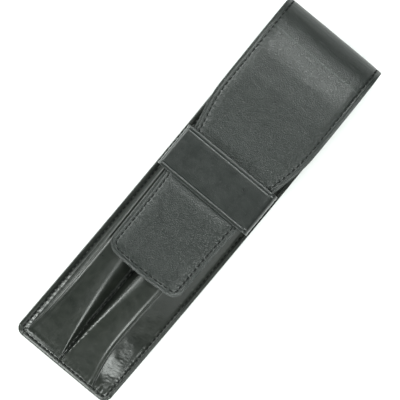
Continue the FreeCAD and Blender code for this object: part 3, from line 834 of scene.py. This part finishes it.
def front_surface():
    """Outer face of the front, creased, wrinkled and sewn, and its heights before the sewing."""
    grid = np.zeros(F_PLAN_X.shape + (3,))
    grid[..., 0] = F_PLAN_X
    grid[..., 1] = F_ROW_Y
    z = F_GRID[..., 1].copy()
    x = F_PLAN_X
    y = F_ROW_Y
    rise = F_RISE[:, None]
    left_fold, shoulder_1, seam_left, seam_right, shoulder_2, right_fold = [
        F_KEYS[:, corner, 0][:, None]
        for corner in (LEFT_FOLD, SHOULDER_1, SEAM_LEFT, SEAM_RIGHT, SHOULDER_2, RIGHT_FOLD)]
    side = F_LABEL[:, 0][None, :]
    share = F_LABEL[:, 1][None, :]
    arch = np.sin(math.pi * np.clip(share, 0, 1))
    more_low = smoothstep((-30 - y) / 30.0)
    pull = between_holes(F_ALONG, margin_pitch)
    # Channel tops: a pressed groove just inside each pleat fold, and a soft crown.
    on_first = (side >= 3.5) & (side <= 5)
    on_second = (side >= 7.5) & (side <= 9)
    first_in = x - left_fold
    second_in = right_fold - x
    pinch = 0.3 * np.minimum(1, 0.3 + rise)
    z = z - on_first * pinch * bell(first_in - 0.85, 0.36)
    z = z + on_first * 0.12 * bell(first_in - 2.0, 0.8)
    z = z - on_second * pinch * 0.8 * bell(second_in - 0.95, 0.45)
    span_1 = np.clip((x - left_fold) / (shoulder_1 - left_fold), 0, 1)
    span_2 = np.clip((x - shoulder_2) / (right_fold - shoulder_2), 0, 1)
    crown_1 = 0.35 * np.sin(math.pi * span_1) - 0.3 * smoothstep((span_1 - 0.5) / 0.5)
    crown_2 = 0.25 * np.sin(math.pi * span_2) - 0.35 * smoothstep((0.45 - span_2) / 0.45)
    z = z + on_first * crown_1 * rise + on_second * crown_2 * rise
    z = z + (on_first | on_second) * 0.05 * waves(x, y, 18.0, 11) * rise
    # Left wall: wrinkles pulled by the stitches.
    on_wall = (side >= 1) & (side <= 2.5)
    near_seam = bell(F_EDGE - SIDE_INSET - 0.55, 0.75)
    z = z + (F_EDGE > SIDE_INSET) * (F_EDGE < 6) * 0.05 * pull * near_seam
    gathered = 0.3 + 0.7 * smoothstep((-38 - y) / 32.0)
    swell = np.minimum(1, 1.6 * np.sin(math.pi * np.clip(share * 0.5 + (side >= 2) * 0.5, 0, 1)))
    wrinkles = (0.05 * np.sin(2 * math.pi * F_ALONG / margin_pitch + 1.5 * waves(x, y, 9.0, 5))
                + 0.12 * waves(x * 0.4, y, 1.25, 6) + 0.06 * waves(x, y, 5.0, 7))
    grid[..., 0] = grid[..., 0] - on_wall * gathered * swell * wrinkles
    # Right flank: crumpled leather, mostly near the closed end.
    on_flank = (side >= 10) & (side <= 10.5)
    crumple = (0.07 * waves(x * 0.6, y, 2.6, 21) + 0.06 * waves(x * 0.6, y, 1.2, 22)
               + 0.2 * waves(x * 0.5, y, 9.0, 23))
    z = z + on_flank * arch * (0.2 + 0.8 * more_low) * crumple
    # Puckers running up from the seam across the closed end.
    low_end = bell(y - LOW_Y - LOW_INSET - 1.2, 1.5) * (np.abs(x) < 19.5)
    z = z + 0.24 * (pull - 0.5) * low_end + 0.02 * waves(x, y, 2.0, 31) * bell(y + 78, 3.0)
    # Fine wrinkles across the strip beside the left seam.
    on_strip = (side >= 1) & (side < 2)
    z = z + on_strip * 0.06 * waves(x * 0.5, y, 1.1, 8) * more_low * arch
    # Margin: rolled edge, a right side that falls to its edge, groove and holes, and a bead outside the seam.
    z = z + rolled(F_EDGE, 0.36)
    z = z - 0.35 * np.clip(1 - F_EDGE / 1.7, 0, 1) ** 0.8 * smoothstep((y + 80.0) / 2) * (x > 0)
    unsewn = z.copy()
    z = z + seam_relief(F_GAP, F_ALONG, margin_pitch, 0.3, 0.28)
    z = z + 0.08 * (x > 18) * bell(F_EDGE - 1.05, 0.3)
    # Round the closed end the layers are pressed down towards the edge.
    end = y - LOW_Y
    press = (1 - smoothstep((end - 1.7) / 3.0)) * np.clip(z - FRONT_Z - 0.1, 0, 9) * 0.25
    # The rim there is steep, with swellings between the stitches.
    at_end = smoothstep((-79.3 - y) / 1.2)
    press = press + at_end * 0.85 * np.clip(1 - (F_EDGE - 0.35) / 1.15, 0, 1)
    z = z - press + at_end * 0.16 * (pull - 0.5) * bell(F_EDGE - 1.0, 0.4)
    unsewn = unsewn - press
    # The valley's seam, and an unevenness on its two slopes.
    centre_gap = np.abs(x - 0.5 * (seam_left + seam_right))
    on_valley = (side >= 5) & (side <= 7.5)
    z = z + on_valley * seam_relief(centre_gap, y + 80.0, SEAM_PITCH, 0.08, 0.1) * smoothstep((y + 79) / 4)
    on_slope = smoothstep((z - FRONT_Z) / 2) * smoothstep((FRONT_TOP - 3 - z) / 3)
    z = z + on_valley * 0.1 * waves(x, y, 2.6, 41) * on_slope
    # The mouth's edge is turned and slightly rounded.
    lip = MOUTH_Y - y
    z = z - 0.25 * (1 - smoothstep(lip / 0.5)) - 0.06 * bell(lip - 1.5, 0.3)
    grid[..., 2] = z
    return grid, unsewn


F_OUT, F_UNSEWN = front_surface()


def under_front(depth):
    """Inner grid of the front: the plain section moved inwards, never below the front's own foot."""
    base = np.zeros_like(F_OUT)
    base[..., 0] = F_PLAN_X
    base[..., 1] = F_ROW_Y
    base[..., 2] = F_GRID[..., 1]
    normal = grid_normals(base)
    normal[..., 1] = 0
    size = np.linalg.norm(normal, axis=-1, keepdims=True)
    normal = normal / np.maximum(size, 1e-6)
    inside = base - normal * depth
    inside[..., 2] = np.maximum(inside[..., 2], FRONT_Z - LEATHER + 0.02)
    inside[..., 2] = np.minimum(inside[..., 2], F_OUT[..., 2] - 0.25)
    return inside


front = slab("front_cover", F_OUT, under_front(LEATHER), FRONT)
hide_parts("front_panel")
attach(front, "case")


def channel_tube(name, first_side, last_side, node):
    """Lining glued under one pen channel."""
    cols = np.where((F_LABEL[:, 0] >= first_side) & (F_LABEL[:, 0] <= last_side))[0]
    rows = np.where((F_Y > -71.0) & (F_Y < MOUTH_Y - 0.4))[0][::3]
    outer, inner = [under_front(LEATHER + depth)[np.ix_(rows, cols)] for depth in (0.02, 0.4)]
    obj = slab(name, outer, inner, CHANNEL)
    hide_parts(node)
    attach(obj, "case")


channel_tube("left_channel_tube", 2.5, 5.0, "left_channel_lining")
channel_tube("right_channel_tube", 7.0, 10.0, "right_channel_lining")


def front_height(points):
    """Height of the front's unsewn face at points in its margin."""
    flat = np.stack([F_OUT[..., 0], F_OUT[..., 1], F_UNSEWN], axis=-1).reshape(-1, 3)
    near = flat[(F_GAP < 0.7).reshape(-1)]
    return np.array([near[((near[:, :2] - point) ** 2).sum(axis=1).argmin(), 2] for point in points])


def margin_threads():
    """Round the front's margin and on up the lining's, with gaps at the strap and the mouth."""
    lining_z = 2.1
    height = np.where(margin[:, 1] < MOUTH_Y, front_height(margin) - 0.1, lining_z)
    place, ahead = stitches_along(np.stack([margin[:, 0], margin[:, 1], height], axis=1), margin_count)
    clear = (place[:, 1] < STRAP_Y[0] - 0.4) | (place[:, 1] > STRAP_Y[1] + 0.4)
    clear &= np.abs(place[:, 1] - MOUTH_Y) > 0.9
    threads("margin_threads", upright(place[clear], ahead[clear]), SEAM_PITCH * THREAD_SHARE, THREAD_WIDTH,
            THREAD_HEIGHT, on_body("case"), "perimeter_stitching")


def straight_threads(name, place, length, node):
    """Finer stitches, all lying along Y."""
    ahead = np.tile([0.0, 1.0, 0.0], (len(place), 1))
    threads(name, upright(place, ahead), length, 0.42, 0.3, on_body("case"), node)


def centre_threads():
    """Down the valley between the channels."""
    y = np.arange(-79.0, MOUTH_Y - 1.0, SEAM_PITCH)
    keys = section_grid(y)[3]
    x = 0.5 * (keys[:, SEAM_LEFT, 0] + keys[:, SEAM_RIGHT, 0])
    place = np.stack([x, y, keys[:, SEAM_LEFT, 1] + 0.02], axis=1)
    straight_threads("centre_threads", place, SEAM_PITCH * 0.72, "centre_stitching")


margin_threads()
centre_threads()


# ---------------------------------------------------------------- strap

STRAP_EDGE = [0, .05, .12, .22, .36, .55, .8, 1.05, 1.25, 1.4, 1.55, 1.7, 1.9, 2.2, 2.8, 3.8, 5.4, 7.4]
# Corners of each layer across the case, as x, z and how far each corner is rounded.
STRAP_ROUTE = [(-22.55, 4.15, 0), (-21.95, 4.2, 0.25), (-21.55, 18.55, 1.3), (0, 18.8, 2.0),
               (21.45, 18.5, 2.8), (21.95, 4.2, 0.25), (22.55, 4.15, 0)]
STRAP_LINING_ROUTE = [(-20.8, 6.0, 0), (-20.45, 17.5, 1.2), (0, 17.75, 2.0), (20.4, 17.45, 1.6),
                      (20.8, 6.0, 0)]


def strap_line(route, step):
    """Line across the case with rounded corners, at an even step."""
    points, radii = np.array(route, float)[:, :2], [corner[2] for corner in route]
    out = [points[:1]]
    for index in range(1, len(points) - 1):
        before = points[index - 1] - points[index]
        after = points[index + 1] - points[index]
        before /= np.linalg.norm(before)
        after /= np.linalg.norm(after)
        t = np.linspace(0, 1, 24)[:, None]
        start = points[index] + before * radii[index]
        stop = points[index] + after * radii[index]
        out.append((1 - t) ** 2 * start + 2 * t * (1 - t) * points[index] + t * t * stop)
    out.append(points[-1:])
    return resample(np.concatenate(out), step)


def strap_band(name, route, thickness, material, node, detail):
    """One layer of the strap. Detail is the crease along its edges and the unevenness of its top."""
    line = strap_line(route, 0.3)
    ahead_line = unit_rows(np.gradient(line, axis=0))
    normal = np.stack([-ahead_line[:, 1], ahead_line[:, 0]], axis=1)
    low, high = STRAP_Y
    steps = np.array(STRAP_EDGE)
    ys = np.concatenate([low + steps, [(low + high) / 2], high - steps[::-1]])
    d = np.minimum(ys - low, high - ys)
    run = lengths_of(line)
    end = np.minimum(run, run[-1] - run)
    relief = rolled(d, 0.3)[None, :] + rolled(end, 0.25)[:, None]
    if detail:
        relief = relief - 0.13 * bell(d - 1.5, 0.17)[None, :] + 0.05 * bell(d - 0.85, 0.4)[None, :]
        on_top = smoothstep((line[:, 1] - 12) / 4)[:, None]
        relief = relief + on_top * 0.05 * waves(line[:, 0][:, None], ys[None, :], 16.0, 51)
        relief = relief - on_top * 0.12 * (np.abs(line[:, 0])[:, None] / 21) ** 2
    top = np.zeros((len(line), len(ys), 3))
    top[..., 0] = line[:, 0][:, None] + normal[:, 0][:, None] * relief
    top[..., 1] = ys[None, :]
    top[..., 2] = line[:, 1][:, None] + normal[:, 1][:, None] * relief
    bottom = top.copy()
    depth = thickness - 0.15 * (d < 0.1)[None, :]
    bottom[..., 0] = line[:, 0][:, None] - normal[:, 0][:, None] * depth
    bottom[..., 2] = line[:, 1][:, None] - normal[:, 1][:, None] * depth
    obj = slab(name, top[:, ::-1], bottom[:, ::-1], material)
    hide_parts(node)
    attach(obj, "case")


def strap_foot_threads():
    """Eight stitches down each foot of the strap."""
    x, z = 22.25, 4.18
    spots = np.linspace(STRAP_Y[0] + 1.4, STRAP_Y[1] - 1.4, 8)
    place = np.array([(side * x, y, z) for side in (-1, 1) for y in spots])
    straight_threads("strap_foot_threads", place, 1.5, "strap_stitching")


strap_band("strap_cover", STRAP_ROUTE, 0.98, STRAP, "strap_outer", True)
strap_band("strap_inside", STRAP_LINING_ROUTE, 0.45, LINING, "strap_lining", False)
strap_foot_threads()

# The back's board keeps its CAD shape.
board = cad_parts["back_stiffener"]
board.data.materials.clear()
board.data.materials.append(BOARD)


# ---------------------------------------------------------------- floor, light and camera

def floor():
    """Low enough for the hump that the fold makes under the case when it is open flat."""
    mesh = bpy.data.meshes.new("floor")
    size, low = 3.0, FLOOR_Z * MM
    mesh.from_pydata([(-size, -size, low), (size, -size, low), (size, size, low), (-size, size, low)],
                     [], [(0, 1, 2, 3)])
    material, tree, shader, place = new_material("pale_floor")
    cloud = texture(tree, "ShaderNodeTexNoise", place, Scale=3.0, Detail=2.0)
    pale = ramp(tree, cloud.outputs["Fac"], [(0.3, (0.86, 0.86, 0.86)), (0.7, (0.9, 0.9, 0.9))])
    tree.links.new(pale, shader.inputs["Base Color"])
    shader.inputs["Roughness"].default_value = 0.9
    mesh.materials.append(material)
    obj = bpy.data.objects.new("floor", mesh)
    bpy.context.scene.collection.objects.link(obj)


def softbox(name, azimuth, elevation, distance, width, height, power):
    """Area light aimed at the case. Azimuth is measured from +X towards +Y."""
    data = bpy.data.lights.new(name, "AREA")
    data.shape = "RECTANGLE"
    data.size, data.size_y = width, height
    data.energy = power
    data.color = (0.95, 1.0, 0.97)
    obj = bpy.data.objects.new(name, data)
    a, e = math.radians(azimuth), math.radians(elevation)
    level = distance * math.cos(e)
    obj.location = (level * math.cos(a), level * math.sin(a), distance * math.sin(e))
    obj.rotation_euler = (Vector((0, 0, 0)) - obj.location).to_track_quat("-Z", "Y").to_euler()
    bpy.context.scene.collection.objects.link(obj)


def pale_room():
    """Even light from all round, slightly green."""
    world = bpy.data.worlds.new("pale_room")
    world.use_nodes = True
    background = world.node_tree.nodes["Background"]
    background.inputs["Color"].default_value = (0.93, 1.0, 0.96, 1.0)
    background.inputs["Strength"].default_value = 0.2
    bpy.context.scene.world = world
    bpy.context.scene.view_settings.view_transform = "Standard"


def camera_above():
    """Long lens straight above the case, turned so that the case lies across the frame."""
    data = bpy.data.cameras.new("camera")
    data.sensor_width = 36.0
    data.lens = 175.3
    data.clip_start = 0.05
    camera = bpy.data.objects.new("camera", data)
    across = Vector((0.768, 0.639, 0.0)).normalized()
    upward = Vector((-0.639, 0.768, 0.0)).normalized()
    turned = Matrix((across, upward, (0, 0, 1))).transposed().to_4x4()
    camera.matrix_world = Matrix.Translation((0.0004, 0.0011, 0.75)) @ turned
    bpy.context.scene.collection.objects.link(camera)
    bpy.context.scene.camera = camera


floor()
# Azimuth, elevation, distance, width, height and power.
for lamp, settings in {
        "key": (172, 42, 1.0, 0.4, 0.8, 8.5),
        "left_strip": (199, 8, 1.0, 0.18, 0.7, 11.0),
        "low_right": (-40, 42, 1.0, 0.35, 0.5, 9.0),
        "low_front": (-92, 13, 1.0, 0.6, 0.18, 6.5),
        "low_back": (94, 8, 1.0, 0.6, 0.1, 0.9),
        "overhead": (90, 65, 1.1, 0.5, 0.13, 7.5)}.items():
    softbox(lamp, *settings)
pale_room()
camera_above()
